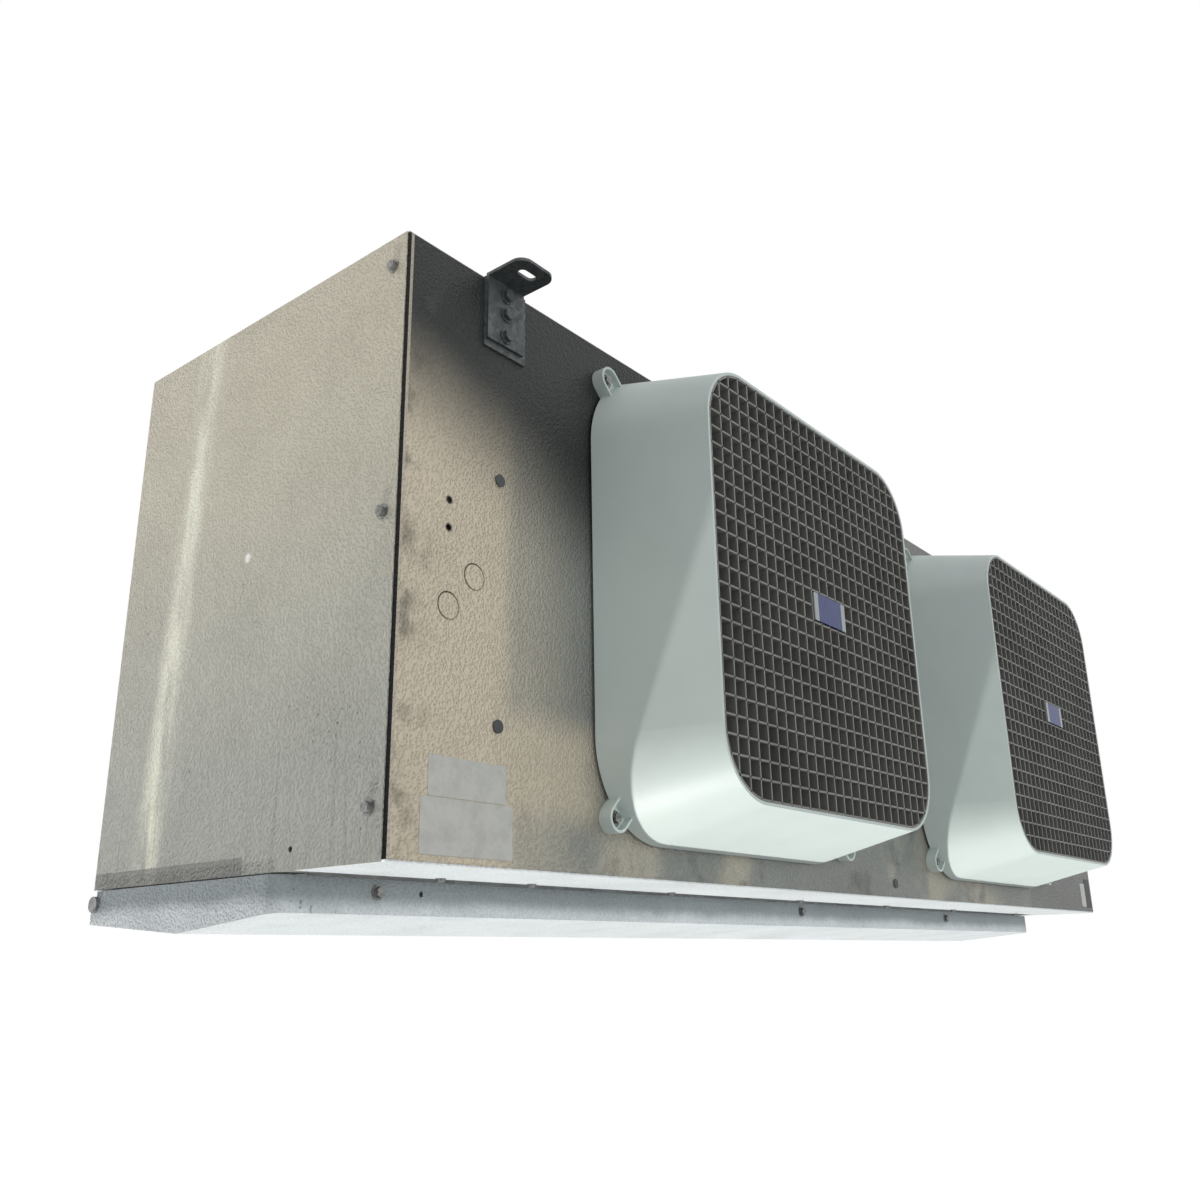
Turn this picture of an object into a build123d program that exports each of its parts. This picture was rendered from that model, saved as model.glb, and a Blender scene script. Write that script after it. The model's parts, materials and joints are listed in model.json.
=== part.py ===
"""Walk-in unit cooler with two fans: a low-profile evaporator hung from a ceiling.

Frame: origin on the ceiling plane, midway between the four hanger slots.
X runs along the cabinet, the fans blow towards -Y, and Z points up.
"""
import os
from math import atan, cos, degrees, radians, sin, sqrt

from build123d import *

os.makedirs("parts", exist_ok=True)

# Cabinet, made of folded sheet
LENGTH = 1620.0
DEPTH = 400.0
HEIGHT = 520.0
SHEET = 1.2
BEND_R = 2.6
RETURN = 32.0          # folded edges of the front panel
FLOOR_RETURN = 104.0   # the front panel's fold under the cabinet
LAP = 2.6              # how far the end panels stay behind the front face

# Ceiling hangers
HANGER_T = 3.0
HANGER_W = 46.0
HANGER_LEG = 66.0
HANGER_REACH = 46.0
HANGER_INSET = 113.0
SLOT_L = 20.0
SLOT_W = 9.0
SLOT_OUT = 30.0
DOUBLER_T = 2.0

TOP = -HANGER_T
BOTTOM = TOP - HEIGHT
LEFT, RIGHT = -LENGTH / 2, LENGTH / 2
FRONT, BACK = -DEPTH / 2, DEPTH / 2

# Fans and guards
FAN_INSET = 468.5
FAN_X = {"left": LEFT + FAN_INSET, "right": RIGHT - FAN_INSET}
BAFFLE_X = sum(FAN_X.values()) / 2
FAN_Z = TOP - 255.0
ORIFICE_R = 181.0
ORIFICE_DEPTH = 34.0
FAN_R = 175.0
HUB_R = 28.0
SHAFT_R = 4.0
RUN_FIT = 0.05         # radial play of a running fit
GAP = 0.3              # radial play of a fixed fit
MOTOR_R = 44.0
MOTOR_L = 92.0
WEB_Y = FRONT + 62.0   # the motor bracket's web
LEG_Z = ORIFICE_R + 21.0
GUARD_BASE = 470.0
GUARD_FACE = 416.0
GUARD_FACE_R = 64.0
GUARD_OUT = 120.0
GUARD_WALL = 3.0
GUARD_LIFT = 3.0       # daylight between the shroud and the panel
CELLS = 24
RIM = 2.0
VANE_T = 1.6
GRILLE_D = 14.0
EAR_R = 13.0
EAR_T = 6.0
EAR_NECK = 15.0
EAR_AT = 304.0         # from the fan's axis, along the diagonal

# Coil
COIL_D = 112.0
COIL_BACK = BACK - 8.0
COIL_FRONT = COIL_BACK - COIL_D
COIL_TOP = TOP - 78.0
COIL_BOTTOM = BOTTOM + 22.0
END_BAY = 112.0
TUBE_R = 7.9
TUBE_PITCH = 38.0
FIN_GROOVES = 70
SUCTION_R = 14.3       # swaged end for a 28.6 mm tube
SUCTION_Y = BACK - 90.0
LIQUID_R = 6.35        # swaged end for a 12.7 mm tube
SWAGE = 0.8            # step from tube to swaged end
STUB = 31.0
LIQUID_Y = BACK - 45.0

# Drain pan
PAN_FRONT = FRONT + 120.0
PAN_PROUD = 3.0
PAN_WALL = 30.0
PAN_DEEP = 42.0
PAN_GAP = 1.5
PIVOT_Y = BACK - 11.0
PIVOT_Z = BOTTOM - 13.0
PIVOT_R = 4.0
DRAIN_R = 13.35


def slab(x, y, z, mode=Mode.ADD):
    """A box given by its two limits on each axis."""
    centre = tuple((a + b) / 2 for a, b in (x, y, z))
    with Locations(centre):
        Box(abs(x[1] - x[0]), abs(y[1] - y[0]), abs(z[1] - z[0]), mode=mode)


def rod(start, radius, length, axis, mode=Mode.ADD):
    """A cylinder that starts at a point and runs along an axis."""
    with Locations(Plane(origin=start, z_dir=axis).location):
        Cylinder(radius, length, align=(Align.CENTER, Align.CENTER, Align.MIN), mode=mode)


def hexhead(start, flats, height, axis):
    """A hexagon head that stands on a face."""
    with BuildSketch(Plane(origin=start, z_dir=axis)) as outline:
        RegularPolygon(flats / 2, 6, major_radius=False)
    extrude(outline.sketch, amount=height)


def save(builder, label):
    builder.part.label = label
    export_step(builder.part, f"parts/{label}.step")


EAR_OFFSETS = [(sx * EAR_AT / sqrt(2), sz * EAR_AT / sqrt(2)) for sx in (-1, 1) for sz in (-1, 1)]
EAR_POINTS = [(fx + dx, FAN_Z + dz) for fx in FAN_X.values() for dx, dz in EAR_OFFSETS]
PLUGS = [(LEFT + 112, FAN_Z + 62), (LEFT + 113, FAN_Z - 153), (BAFFLE_X + 13, BOTTOM + 18)]
SMALL_HOLES = [(LEFT + 54, FAN_Z + 26), (LEFT + 54, FAN_Z + 2)]
KNOCKOUTS = [(LEFT + 84, FAN_Z - 33), (LEFT + 56, FAN_Z - 64)]
FLOOR_SCREWS = [LEFT + x * LENGTH for x in (0.09, 0.16, 0.296, 0.465, 0.615, 0.76, 0.927)]
PAN_SCREWS = [LEFT + x * LENGTH for x in (0.06, 0.491, 0.773)]
END_SCREWS = [(FRONT + 18, TOP - 28), (FRONT + 18, FAN_Z + 4), (FRONT + 18, BOTTOM + 39)]

# Top panel: a tray folded down at the back and the ends
with BuildPart() as top_panel:
    slab((LEFT + SHEET, RIGHT - SHEET), (FRONT + 0.6, BACK), (TOP - SHEET, TOP))
    slab((LEFT + SHEET, RIGHT - SHEET), (BACK - SHEET, BACK), (TOP - 74, TOP))
    for x0, x1 in ((LEFT + SHEET, LEFT + 2 * SHEET), (RIGHT - 2 * SHEET, RIGHT - SHEET)):
        slab((x0, x1), (FRONT + RETURN + 4, BACK), (TOP - 24, TOP))
    fillet(top_panel.edges().filter_by(Axis.X).group_by(Axis.Y)[-1].sort_by(Axis.Z)[-1], BEND_R)
save(top_panel, "top_panel")

# Front panel: fan orifices rolled inwards, edges folded back
with BuildPart() as front_panel:
    edge_x = (LEFT + SHEET, RIGHT - SHEET)
    slab(edge_x, (FRONT, FRONT + RETURN), (BOTTOM, TOP - SHEET))
    slab(edge_x, (FRONT, FRONT + FLOOR_RETURN), (BOTTOM, BOTTOM + 12))
    outer = front_panel.edges().filter_by(Axis.Z).group_by(Axis.Y)[0]
    fillet(outer, BEND_R)
    fillet(front_panel.edges().filter_by(Axis.X).group_by(Axis.Y)[0].sort_by(Axis.Z)[0], BEND_R)
    slab((edge_x[0] + SHEET, edge_x[1] - SHEET), (FRONT + SHEET, FRONT + RETURN + 1),
         (BOTTOM + SHEET, TOP - 2 * SHEET), Mode.SUBTRACT)
    slab((edge_x[0] + SHEET, edge_x[1] - SHEET), (FRONT + SHEET, FRONT + FLOOR_RETURN - SHEET),
         (BOTTOM + SHEET, BOTTOM + 30), Mode.SUBTRACT)
    for fan_x in FAN_X.values():
        rod((fan_x, FRONT, FAN_Z), ORIFICE_R + SHEET, ORIFICE_DEPTH, (0, 1, 0))
        rod((fan_x, FRONT - 1, FAN_Z), ORIFICE_R, ORIFICE_DEPTH + 2, (0, 1, 0), Mode.SUBTRACT)
    for x, z in PLUGS:
        rod((x, FRONT - 1, z), 4.4, 4, (0, 1, 0), Mode.SUBTRACT)
    for x, z in SMALL_HOLES:
        rod((x, FRONT - 1, z), 2.4, 4, (0, 1, 0), Mode.SUBTRACT)
    for x, z in EAR_POINTS:
        rod((x, FRONT - 1, z), 2.9, 4, (0, 1, 0), Mode.SUBTRACT)
    for x, z in KNOCKOUTS:
        with BuildSketch(Plane(origin=(x, FRONT, z), z_dir=(0, -1, 0))):
            Circle(11.4)
            Circle(10.6, mode=Mode.SUBTRACT)
        extrude(amount=-0.5, mode=Mode.SUBTRACT)
save(front_panel, "front_panel")

# End panels, folded in at the back and underneath
for name, x_out, inward in (("left", LEFT, 1), ("right", RIGHT, -1)):
    with BuildPart() as end_panel:
        x_in = x_out + inward * SHEET
        x_fold = x_out + inward * 26
        slab(sorted((x_out, x_in)), (FRONT + LAP, BACK), (BOTTOM, TOP))
        slab(sorted((x_out, x_fold)), (BACK - SHEET, BACK), (BOTTOM, TOP - 75))
        slab(sorted((x_out, x_fold)), (FRONT + FLOOR_RETURN + 2, BACK), (BOTTOM, BOTTOM + SHEET))
        for y, z in END_SCREWS:
            rod((x_out - inward, y, z), 2.6, 4, (inward, 0, 0), Mode.SUBTRACT)
        rod((x_out - inward, FRONT + 108, TOP - 504), 2.4, 4, (inward, 0, 0), Mode.SUBTRACT)
        if name == "right":
            rod((x_out + 1, SUCTION_Y, TOP - 110), SUCTION_R + 4, 4, (-1, 0, 0), Mode.SUBTRACT)
            rod((x_out + 1, LIQUID_Y, TOP - 165), LIQUID_R + 4, 4, (-1, 0, 0), Mode.SUBTRACT)
    save(end_panel, f"end_panel_{name}")

# Screws through the end panels into the front panel's folded edges
with BuildPart() as end_panel_screws:
    for x, inward in ((LEFT, 1), (RIGHT, -1)):
        for y, z in END_SCREWS:
            rod((x, y, z), 6.2, 0.9, (-inward, 0, 0))
            hexhead((x - inward * 0.9, y, z), 7.9, 3.6, (-inward, 0, 0))
            rod((x, y, z), 2.3, SHEET, (inward, 0, 0))
save(end_panel_screws, "end_panel_screws")

# Plugs that close unused holes in the front panel
with BuildPart() as hole_plugs:
    for x, z in PLUGS:
        rod((x, FRONT, z), 5.6, 1.3, (0, -1, 0))
        rod((x, FRONT, z), 4.1, 5, (0, 1, 0))
save(hole_plugs, "hole_plugs")

# Self-drilling screws under the front panel's floor return
with BuildPart() as floor_screws:
    for x in FLOOR_SCREWS:
        rod((x, FRONT + FLOOR_RETURN - 7, BOTTOM), 4.6, 0.8, (0, 0, -1))
        hexhead((x, FRONT + FLOOR_RETURN - 7, BOTTOM - 0.8), 6.4, 2.4, (0, 0, -1))
save(floor_screws, "floor_screws")

# Hangers: an angle with a slotted flange, on a doubler plate
hanger_places = [(sx, sy) for sy in (-1, 1) for sx in (-1, 1)]
hanger_names = ["front_left", "front_right", "rear_left", "rear_right"]
BOLT_ROWS = (TOP - 12, TOP - 31, TOP - 53)
for name, (sx, sy) in zip(hanger_names, hanger_places):
    with BuildPart() as hanger:
        x = sx * (RIGHT - HANGER_INSET)
        wall = sy * (BACK + DOUBLER_T)
        tip = sy * (BACK + HANGER_REACH)
        slab((x - HANGER_W / 2, x + HANGER_W / 2), sorted((wall, tip)), (-HANGER_T, 0))
        slab((x - HANGER_W / 2, x + HANGER_W / 2), sorted((wall, wall + sy * HANGER_T)),
             (-HANGER_LEG, 0))
        corners = hanger.edges().filter_by(Axis.Z).group_by(Axis.Y)[0 if sy < 0 else -1]
        fillet(corners, 12)
        with BuildSketch(Plane.XY):
            with Locations((x, sy * (BACK + SLOT_OUT))):
                SlotOverall(SLOT_L, SLOT_W)
        extrude(amount=-HANGER_T - 1, mode=Mode.SUBTRACT)
        for z in BOLT_ROWS:
            rod((x, sy * BACK, z), 3.4, 8, (0, sy, 0), Mode.SUBTRACT)
    save(hanger, f"hanger_{name}")

with BuildPart() as hanger_doublers:
    for sx, sy in hanger_places:
        x = sx * (RIGHT - HANGER_INSET) + 2
        slab((x - 26, x + 26), sorted((sy * BACK, sy * (BACK + DOUBLER_T))), (TOP - 70, TOP))
        for z in BOLT_ROWS:
            rod((x - 2, sy * (BACK - 1), z), 3.4, 4, (0, sy, 0), Mode.SUBTRACT)
save(hanger_doublers, "hanger_doublers")

with BuildPart() as hanger_bolts:
    for sx, sy in hanger_places:
        x = sx * (RIGHT - HANGER_INSET)
        face = BACK + DOUBLER_T + HANGER_T
        for z in BOLT_ROWS:
            rod((x, sy * face, z), 7.5, 1.2, (0, sy, 0))
            hexhead((x, sy * (face + 1.2), z), 10, 4, (0, sy, 0))
            rod((x, sy * face, z), 3.0, DOUBLER_T + HANGER_T, (0, -sy, 0))
save(hanger_bolts, "hanger_bolts")

# Fan guards: a drafted shroud with four ears, and an egg-crate insert
pitch = (GUARD_FACE - 2 * (GUARD_WALL + RIM)) / CELLS
for name, fan_x in FAN_X.items():
    with BuildPart() as shroud:
        base_y, face_y = FRONT - GUARD_LIFT, FRONT - GUARD_OUT
        draft = (GUARD_BASE - GUARD_FACE) / 2
        taper = degrees(atan(draft / (base_y - face_y)))
        base_plane = Plane(origin=(fan_x, base_y, FAN_Z), x_dir=(1, 0, 0), z_dir=(0, -1, 0))
        for inset, mode in ((0, Mode.ADD), (GUARD_WALL, Mode.SUBTRACT)):
            width = GUARD_BASE - 2 * inset
            with BuildSketch(base_plane):
                RectangleRounded(width, width, GUARD_FACE_R + draft - inset)
            extrude(amount=base_y - face_y, taper=taper, mode=mode)
        with BuildSketch(Plane(origin=(fan_x, face_y + GRILLE_D, FAN_Z), z_dir=(0, -1, 0))):
            RectangleRounded(GUARD_FACE - 2, GUARD_FACE - 2, GUARD_FACE_R - 1)
            RectangleRounded(GUARD_FACE - 4 * GUARD_WALL, GUARD_FACE - 4 * GUARD_WALL,
                             GUARD_FACE_R - 2 * GUARD_WALL, mode=Mode.SUBTRACT)
        extrude(amount=-2.5)
        for dx, dz in EAR_OFFSETS:
            out = Vector(dx, 0, dz).normalized()
            ear_plane = Plane(origin=(fan_x + dx, FRONT, FAN_Z + dz), x_dir=out, z_dir=(0, -1, 0))
            with BuildSketch(ear_plane):
                Circle(EAR_R)
                with Locations((-EAR_NECK / 2, 0)):
                    Rectangle(EAR_NECK, 2 * EAR_R)
                Circle(3.3, mode=Mode.SUBTRACT)
            extrude(amount=EAR_T)
            with BuildSketch(ear_plane):
                Circle(EAR_R)
                with Locations((-EAR_NECK / 2, 0)):
                    Rectangle(EAR_NECK, 2 * EAR_R)
                Circle(EAR_R - 2.4, mode=Mode.SUBTRACT)
                with Locations((-EAR_NECK / 2, 0)):
                    Rectangle(EAR_NECK + 0.2, 2 * (EAR_R - 2.4), mode=Mode.SUBTRACT)
            extrude(amount=EAR_T + 7)
    save(shroud, f"guard_shroud_{name}")

    span = GUARD_FACE - 2 * GUARD_WALL - 2 * GAP
    radius = GUARD_FACE_R - GUARD_WALL - GAP
    layers = []
    for level, upright in ((0, True), (1, False)):
        with BuildPart() as layer:
            origin = (fan_x, face_y + (level + 1) * GRILLE_D / 2, FAN_Z)
            grille_plane = Plane(origin=origin, x_dir=(1, 0, 0), z_dir=(0, -1, 0))
            with BuildSketch(grille_plane):
                for i in range(1, CELLS):
                    at = (i - CELLS / 2) * pitch
                    with Locations((at, 0) if upright else (0, at)):
                        Rectangle(*((VANE_T, span) if upright else (span, VANE_T)))
                RectangleRounded(span - RIM, span - RIM, radius - RIM / 2, mode=Mode.INTERSECT)
            extrude(amount=GRILLE_D / 2)
            with BuildSketch(grille_plane):
                RectangleRounded(span, span, radius)
                RectangleRounded(span - 2 * RIM, span - 2 * RIM, radius - RIM, mode=Mode.SUBTRACT)
            extrude(amount=GRILLE_D / 2)
        layers.append(layer.part.solid())
    grille = Compound(children=layers, label=f"guard_grille_{name}")
    export_step(grille, f"parts/guard_grille_{name}.step")

    with BuildPart() as badge:
        slab((fan_x - 32, fan_x + 32), (face_y - 1.4, face_y), (FAN_Z - 14.5, FAN_Z + 14.5))
        fillet(badge.edges().filter_by(Axis.Y), 1.5)
    save(badge, f"guard_badge_{name}")

    # Motor, its bracket and the fan on its shaft
    with BuildPart() as bracket:
        slab((fan_x - 27, fan_x + 27), (WEB_Y, WEB_Y + 2), (FAN_Z - LEG_Z, FAN_Z + LEG_Z))
        for side in (-1, 1):
            z0, z1 = sorted((FAN_Z + side * (LEG_Z - 2), FAN_Z + side * LEG_Z))
            slab((fan_x - 27, fan_x + 27), (FRONT + SHEET, WEB_Y + 2), (z0, z1))
            z0, z1 = sorted((FAN_Z + side * (LEG_Z - 2), FAN_Z + side * (LEG_Z + 20)))
            slab((fan_x - 27, fan_x + 27), (FRONT + SHEET, FRONT + SHEET + 2), (z0, z1))
        rod((fan_x, WEB_Y - 1, FAN_Z), 14, 5, (0, 1, 0), Mode.SUBTRACT)
    save(bracket, f"motor_bracket_{name}")

    with BuildPart() as motor:
        rod((fan_x, WEB_Y + 2, FAN_Z), MOTOR_R, MOTOR_L, (0, 1, 0))
        fillet(motor.edges().group_by(Axis.Y)[-1], 8)
        rod((fan_x, WEB_Y - 2, FAN_Z), 12, 4, (0, 1, 0))
        for k in range(12):
            a = radians(30 * k)
            with Locations(Location((fan_x + MOTOR_R * cos(a), WEB_Y + 46, FAN_Z + MOTOR_R * sin(a)),
                                    (0, -30 * k, 0))):
                Box(5, 56, 2.4)
        rod((fan_x, WEB_Y - 3, FAN_Z), SHAFT_R + RUN_FIT, 44, (0, 1, 0), Mode.SUBTRACT)
    save(motor, f"motor_{name}")

    with BuildPart() as blade:
        mid_y = FRONT + 13
        for r, chord, slope in ((16, 50, 34), (FAN_R + 5, 114, 20)):
            p = radians(slope)
            plane = Plane(origin=(fan_x, mid_y, FAN_Z + r), x_dir=(cos(p), sin(p), 0),
                          z_dir=(0, 0, 1))
            with BuildSketch(plane):
                Rectangle(chord, 1.8)
        loft(ruled=True)
    with BuildPart() as fan:
        rod((fan_x, mid_y - 21, FAN_Z), HUB_R, 42, (0, 1, 0))
        fillet(fan.edges().group_by(Axis.Y)[0], 5)
        for k in range(5):
            add(blade.part.rotate(Axis((fan_x, 0, FAN_Z), (0, 1, 0)), 72 * k))
        with Locations(Plane(origin=(fan_x, mid_y, FAN_Z), z_dir=(0, 1, 0)).location):
            Cylinder(FAN_R, 120, mode=Mode.INTERSECT)
        rod((fan_x, mid_y - 30, FAN_Z), SHAFT_R + GAP, 60, (0, 1, 0), Mode.SUBTRACT)
    save(fan, f"fan_{name}")

    with BuildPart() as shaft:
        rod((fan_x, mid_y - 25, FAN_Z), SHAFT_R, WEB_Y + 39 - mid_y + 25, (0, 1, 0))
    save(shaft, f"motor_shaft_{name}")

# Screws that hold the guards by their ears
with BuildPart() as guard_screws:
    for x, z in EAR_POINTS:
        rod((x, FRONT - EAR_T, z), 7.4, 1.2, (0, -1, 0))
        hexhead((x, FRONT - EAR_T - 1.2, z), 8, 4.6, (0, -1, 0))
        rod((x, FRONT - EAR_T, z), 2.5, EAR_T + SHEET + 10, (0, 1, 0))
save(guard_screws, "guard_screws")

# Baffle between the two fans
with BuildPart() as centre_baffle:
    x = BAFFLE_X
    slab((x, x + SHEET), (FRONT + SHEET, COIL_FRONT), (BOTTOM + 24, TOP - 2 * SHEET))
    slab((x, x + 18), (FRONT + SHEET, FRONT + 2 * SHEET), (BOTTOM + 24, TOP - 2 * SHEET))
save(centre_baffle, "centre_baffle")

# Coil: fin pack between two tube sheets, bends outside them
bay_left, bay_right = LEFT + END_BAY, RIGHT - END_BAY
for name, x, fold in (("left", bay_left, 1), ("right", bay_right, -1)):
    with BuildPart() as tube_sheet:
        slab((x - 0.75, x + 0.75), (COIL_FRONT - 6, BACK - SHEET), (BOTTOM + 4, TOP - SHEET))
        x0, x1 = sorted((x, x - fold * 16))
        slab((x0, x1), (COIL_FRONT - 6, COIL_FRONT - 4.5), (BOTTOM + 4, TOP - SHEET))
        slab((x0, x1), (COIL_FRONT - 6, BACK - SHEET), (TOP - SHEET - 1.5, TOP - SHEET))
    save(tube_sheet, f"tube_sheet_{name}")

with BuildPart() as coil_fins:
    x0, x1 = bay_left + 0.75, bay_right - 0.75
    step = (x1 - x0) / FIN_GROOVES
    outline = []
    for i in range(FIN_GROOVES):
        x = x0 + i * step
        outline += [(x, COIL_FRONT), (x + step / 2, COIL_FRONT),
                    (x + step / 2, COIL_FRONT + 7), (x + step, COIL_FRONT + 7)]
    back = []
    for i in range(FIN_GROOVES):
        x = x0 + i * step
        back += [(x, COIL_BACK), (x + step / 2, COIL_BACK),
                 (x + step / 2, COIL_BACK - 7), (x + step, COIL_BACK - 7)]
    with BuildSketch(Plane.XY.offset(COIL_BOTTOM)):
        Polygon(*outline, *reversed(back), align=None)
    extrude(amount=COIL_TOP - COIL_BOTTOM)
save(coil_fins, "coil_fins")

row_y = COIL_FRONT + COIL_D / 2
for name, face, out in (("left", bay_left - 0.75, -1), ("right", bay_right + 0.75, 1)):
    with BuildPart() as bends:
        for k in range(4):
            z = COIL_BOTTOM + 50 + 2.5 * TUBE_PITCH * k + (TUBE_PITCH / 2 if out > 0 else 0)
            axis = Axis((face + out * 14, row_y, z), (0, 1, 0))
            for side in (-1, 1):
                rod((face, row_y, z + side * TUBE_PITCH / 2), TUBE_R, 14, (out, 0, 0))
            with BuildSketch(Plane(origin=(face + out * 14, row_y, z - TUBE_PITCH / 2),
                                   z_dir=(out, 0, 0))) as end:
                Circle(TUBE_R)
            revolve(end.sketch, axis, revolution_arc=-180 * out)
    save(bends, f"return_bends_{name}")

with BuildPart() as suction_header:
    x = RIGHT - 42
    rod((x, SUCTION_Y, TOP - 430), SUCTION_R - SWAGE, 334, (0, 0, 1))
    rod((x, SUCTION_Y, TOP - 110), SUCTION_R - SWAGE, RIGHT + 3 - x, (1, 0, 0))
    rod((RIGHT + 3, SUCTION_Y, TOP - 110), SUCTION_R, STUB, (1, 0, 0))
save(suction_header, "suction_header")

with BuildPart() as liquid_line:
    rod((bay_right + 0.75, LIQUID_Y, TOP - 165), LIQUID_R - SWAGE, END_BAY + 2.25, (1, 0, 0))
    rod((RIGHT + 3, LIQUID_Y, TOP - 165), LIQUID_R, STUB, (1, 0, 0))
    rod((bay_right + 30, LIQUID_Y, TOP - 165), 10, 26, (1, 0, 0))
save(liquid_line, "liquid_line")

with BuildPart() as pipe_grommets:
    for y, z, pipe in ((SUCTION_Y, TOP - 110, SUCTION_R), (LIQUID_Y, TOP - 165, LIQUID_R)):
        rod((RIGHT, y, z), pipe + 10, 2.5, (1, 0, 0))
        rod((RIGHT - 1, y, z), pipe + GAP, 6, (1, 0, 0), Mode.SUBTRACT)
save(pipe_grommets, "pipe_grommets")

# Terminal box behind the knockouts
with BuildPart() as terminal_box:
    slab((LEFT + SHEET, LEFT + 100), (FRONT + 70, FRONT + 130), (TOP - 380, TOP - 220))
    slab((LEFT + SHEET + 1, LEFT + 99), (FRONT + 71, FRONT + 128.5), (TOP - 379, TOP - 221),
         Mode.SUBTRACT)
save(terminal_box, "terminal_box")

# Drain pan: folded tray, deeper towards the middle, pivoted at the back
def pan_body(inset):
    x0, x1 = LEFT - PAN_PROUD + inset, RIGHT + PAN_PROUD - inset
    y0, y1 = PAN_FRONT + inset, BACK - inset
    ridge = PAN_FRONT + 130
    with BuildSketch(Plane.YZ.offset(x0)) as side:
        Polygon((y0, BOTTOM - PAN_GAP + (1 if inset else 0)),
                (y0, BOTTOM - PAN_WALL + inset), (ridge, BOTTOM - PAN_DEEP + inset),
                (y1, BOTTOM - PAN_WALL + inset), (y1, BOTTOM - PAN_GAP + (1 if inset else 0)),
                align=None)
    extrude(side.sketch, amount=x1 - x0)


with BuildPart() as drain_pan:
    pan_body(0)
    fillet(drain_pan.edges().filter_by(Axis.Z).group_by(Axis.Y)[0], 14)
    fillet(drain_pan.edges().filter_by(Axis.Z).group_by(Axis.Y)[-1], 6)
    with BuildPart(mode=Mode.SUBTRACT) as hollow:
        pan_body(SHEET)
        fillet(hollow.edges().filter_by(Axis.Z).group_by(Axis.Y)[0], 14 - SHEET)
        fillet(hollow.edges().filter_by(Axis.Z).group_by(Axis.Y)[-1], 6 - SHEET)
    slab((LEFT - 9, RIGHT + 9), (BACK - 12, BACK + 1), (BOTTOM - 9, BOTTOM), Mode.SUBTRACT)
    for x, axis in ((LEFT - 9, 1), (RIGHT + 9, -1)):
        rod((x, PIVOT_Y, PIVOT_Z), PIVOT_R + RUN_FIT, 14, (axis, 0, 0), Mode.SUBTRACT)
    for x in PAN_SCREWS:
        rod((x, PAN_FRONT - 1, BOTTOM - 12), 2.6, 4, (0, 1, 0), Mode.SUBTRACT)
    rod((LEFT + 145, PAN_FRONT - 1, BOTTOM - 12), 2.4, 4, (0, 1, 0), Mode.SUBTRACT)
    rod((RIGHT + 9, PAN_FRONT + 130, BOTTOM - 22), DRAIN_R - 2.5, 14, (-1, 0, 0), Mode.SUBTRACT)
save(drain_pan, "drain_pan")

with BuildPart() as drain_fitting:
    x = RIGHT + PAN_PROUD
    rod((x, PAN_FRONT + 130, BOTTOM - 22), 18, 5, (1, 0, 0))
    rod((x, PAN_FRONT + 130, BOTTOM - 22), DRAIN_R, 34, (1, 0, 0))
    rod((x - 8, PAN_FRONT + 130, BOTTOM - 22), DRAIN_R - 2.5 - GAP, 8, (1, 0, 0))
    rod((x - 9, PAN_FRONT + 130, BOTTOM - 22), DRAIN_R - 4, 60, (1, 0, 0), Mode.SUBTRACT)
save(drain_fitting, "drain_fitting")

with BuildPart() as pan_screws:
    for x in PAN_SCREWS:
        rod((x, PAN_FRONT, BOTTOM - 12), 6.4, 1.0, (0, -1, 0))
        hexhead((x, PAN_FRONT - 1.0, BOTTOM - 12), 8, 3.8, (0, -1, 0))
        rod((x, PAN_FRONT, BOTTOM - 12), 2.3, SHEET + 0.8, (0, 1, 0))
save(pan_screws, "pan_screws")

# Rail behind the pan's front edge, and the pivots at its back
with BuildPart() as pan_rail:
    y = PAN_FRONT + SHEET + 2.5
    slab((LEFT + SHEET, RIGHT - SHEET), (y, y + SHEET), (BOTTOM + SHEET, BOTTOM + 24))
    slab((LEFT + 30, RIGHT - 30), (y, y + SHEET), (BOTTOM - 18, BOTTOM + 24))
    slab((LEFT + SHEET, RIGHT - SHEET), (y, y + 24), (BOTTOM + 24 - SHEET, BOTTOM + 24))
save(pan_rail, "pan_rail")

for name, x_out, inward in (("left", LEFT, 1), ("right", RIGHT, -1)):
    with BuildPart() as pivot_bracket:
        x0, x1 = sorted((x_out + inward * 8, x_out + inward * 10.5))
        slab((x0, x1), (PIVOT_Y - 14, PIVOT_Y + 6), (PIVOT_Z - 8, PIVOT_Z + 5))
        slab((x0, x1), (PIVOT_Y - 14, PIVOT_Y - 5), (PIVOT_Z, BOTTOM))
        x0, x1 = sorted((x_out + inward * 8, x_out + inward * 24))
        slab((x0, x1), (PIVOT_Y - 14, PIVOT_Y - 5), (BOTTOM - 2.5, BOTTOM))
        rod((x_out, PIVOT_Y, PIVOT_Z), PIVOT_R + GAP, 20, (inward, 0, 0), Mode.SUBTRACT)
    save(pivot_bracket, f"pan_pivot_bracket_{name}")

with BuildPart() as pan_pivots:
    for x_out, inward in ((LEFT, 1), (RIGHT, -1)):
        head = x_out - inward * (PAN_PROUD + 0.5)
        rod((head, PIVOT_Y, PIVOT_Z), PIVOT_R, 17, (inward, 0, 0))
        rod((head, PIVOT_Y, PIVOT_Z), 7, 2.6, (-inward, 0, 0))
save(pan_pivots, "pan_pivots")
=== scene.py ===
"""Walk-in unit cooler: finishes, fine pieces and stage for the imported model."""

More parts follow.
